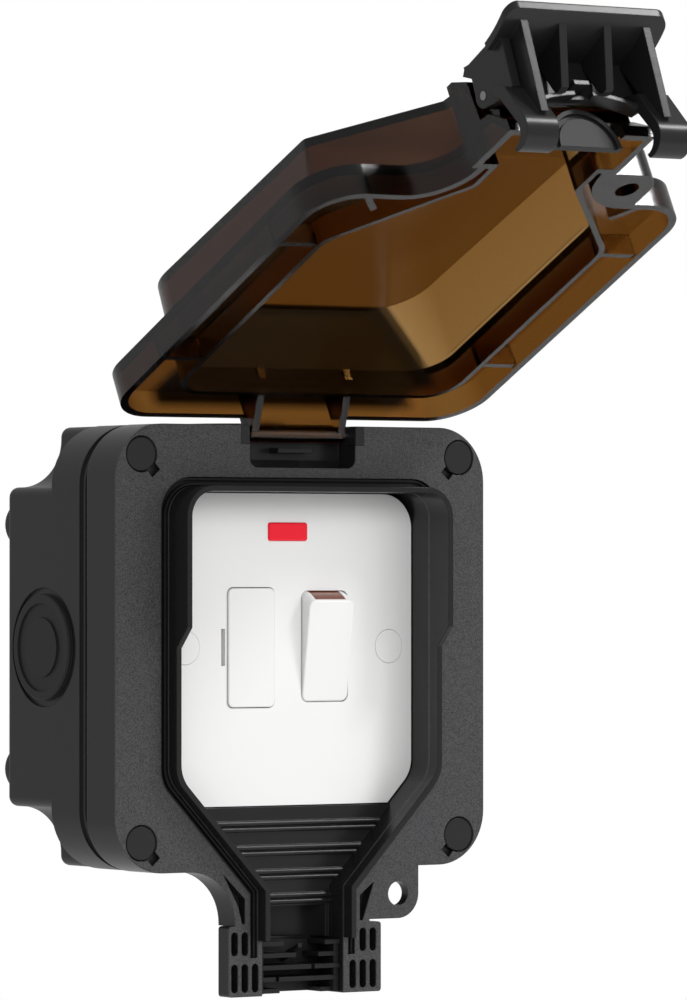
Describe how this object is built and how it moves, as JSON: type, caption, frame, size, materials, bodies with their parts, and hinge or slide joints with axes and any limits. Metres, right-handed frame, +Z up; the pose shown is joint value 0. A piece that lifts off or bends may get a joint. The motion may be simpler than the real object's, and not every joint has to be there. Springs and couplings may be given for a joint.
{
  "type": "weatherproof switched fused spur",
  "caption": "Black weatherproof switched fused spur for a wall, with a white plate, a lit indicator and an open smoked lid.",
  "frame": {"origin": "centre of the four wall fixings on the wall plane", "axes": "+Z up, -Y out of the wall to the front, +X to the right as seen from the front"},
  "size_m": [0.1104, 0.1786, 0.2338],
  "materials": {
    "box_plastic": "satin",
    "plug_rubber": "matte",
    "seal_rubber": "matte",
    "screw_steel": "satin",
    "cap_plastic": "satin",
    "white_plastic": "glossy",
    "neon_red": "glossy",
    "lamp_glass": "clear",
    "ceramic": "satin",
    "cap_metal": "satin",
    "contact_brass": "satin",
    "housing_plastic": "satin",
    "pin_steel": "satin",
    "smoked_lid": "glossy",
    "latch_plastic": "satin"
  },
  "bodies": {
    "base": {"back_box": "box_plastic", "entry_plug_left": "plug_rubber", "entry_plug_right": "plug_rubber", "entry_plug_top": "plug_rubber", "entry_plug_bottom": "plug_rubber", "box_gasket": "seal_rubber", "front_frame": "box_plastic", "cover_screws": "screw_steel", "cover_screw_caps": "cap_plastic", "lid_seal": "seal_rubber", "throat_comb_seal": "seal_rubber", "faceplate": "white_plastic", "plate_screws": "screw_steel", "plate_screw_caps": "white_plastic", "neon_lens": "neon_red", "neon_lamp": "lamp_glass", "fuse_clips": "contact_brass", "switch_housing": "housing_plastic", "switch_contacts": "contact_brass", "terminals": "contact_brass", "terminal_screws": "screw_steel", "hinge_pin": "pin_steel", "hinge_pin_keepers": "cap_plastic"},
    "lid": {"lid": "smoked_lid", "lid_throat_seal": "seal_rubber", "latch_pin": "pin_steel"},
    "latch": {"latch": "latch_plastic"},
    "rocker": {"rocker": "white_plastic"},
    "fuse_drawer": {"fuse_carrier": "white_plastic", "fuse_cartridge": "ceramic", "fuse_end_caps": "cap_metal"}
  },
  "joints": [
    {"name": "lid_hinge", "type": "hinge", "parent": "base", "child": "lid", "pos_m": [0, -0.0485, 0.0522], "axis": [1, 0, 0], "range_deg": [0, 117.2]},
    {"name": "latch_pivot", "type": "hinge", "parent": "lid", "child": "latch", "pos_m": [0, -0.15858, 0.12766], "axis": [1, 0, 0], "range_deg": [0, 12]},
    {"name": "rocker_pivot", "type": "hinge", "parent": "base", "child": "rocker", "pos_m": [0.0108, -0.0402, 0.0001], "axis": [-1, 0, 0], "range_deg": [0, 16.2]},
    {"name": "fuse_carrier_slide", "type": "slide", "parent": "base", "child": "fuse_drawer", "axis": [0, -1, 0], "range_m": [0, 0.02]}
  ]
}
